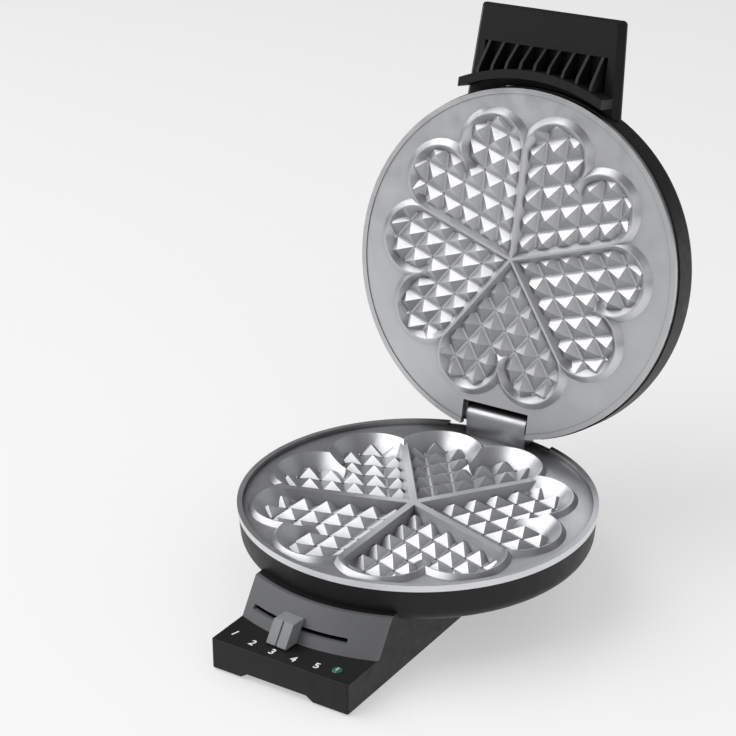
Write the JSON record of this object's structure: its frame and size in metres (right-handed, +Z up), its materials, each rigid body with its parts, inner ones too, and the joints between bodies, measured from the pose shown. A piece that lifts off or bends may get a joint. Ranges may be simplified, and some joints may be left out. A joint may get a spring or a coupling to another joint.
{
  "type": "waffle maker",
  "caption": "Heart waffle maker, lid open: two round cast plates with a heart pattern, black plastic shells, ribbed front handle, slanted panel with a sliding temperature control.",
  "frame": {"origin": "on the floor under the middle of the bounding box, with the lid open", "axes": "+Z up, +X to the right as seen from the front, +Y to the back, where the hinge is"},
  "size_m": [0.194, 0.2686, 0.2811],
  "materials": {
    "black_plastic": "fine even grain, moulded",
    "grey_plastic": "satin, moulded",
    "light_grey_plastic": "satin, moulded",
    "cast_aluminium": "die cast, satin, bare",
    "sheet_aluminium": "bright rolled sheet",
    "steel": "plain, fine grain",
    "black_rubber": "matte",
    "lens_plastic": "clear, faintly green",
    "lamp_glass": "clear",
    "white_insulator": "hard, heat resistant"
  },
  "bodies": {
    "base": {"base_housing": "black_plastic", "bottom_cover": "black_plastic", "control_panel": "grey_plastic", "cord_inlet": "black_rubber", "cover_screws": "steel", "hinge_pin": "steel", "indicator_lamp": "lamp_glass", "indicator_lens": "lens_plastic", "lower_clamps": "steel", "lower_heater": "steel", "lower_plate": "cast_aluminium", "lower_reflector": "sheet_aluminium", "plate_screws": "steel", "rubber_feet": "black_rubber", "terminal_block": "white_insulator", "thermal_fuse": "white_insulator", "thermostat": "white_insulator"},
    "lid": {"lid_plate": "cast_aluminium", "lid_shell": "black_plastic", "lid_heater": "steel", "lid_clamps": "steel", "lid_reflector": "sheet_aluminium", "handle_body": "black_plastic", "handle_cover": "black_plastic", "handle_screws": "steel"},
    "slider": {"slider_knob": "light_grey_plastic", "slider_lever": "steel", "thermostat_spindle": "steel"}
  },
  "joints": [
    {"name": "lid_hinge", "type": "hinge", "parent": "base", "child": "lid", "pos_m": [0, 0.0831, 0.0603], "axis": [1, 0, 0], "range_deg": [0, 100.9]},
    {"name": "slider_turn", "type": "hinge", "parent": "base", "child": "slider", "pos_m": [0, -0.0053, 0.0235], "axis": [0, 0, 1], "range_deg": [-13, 15]}
  ]
}
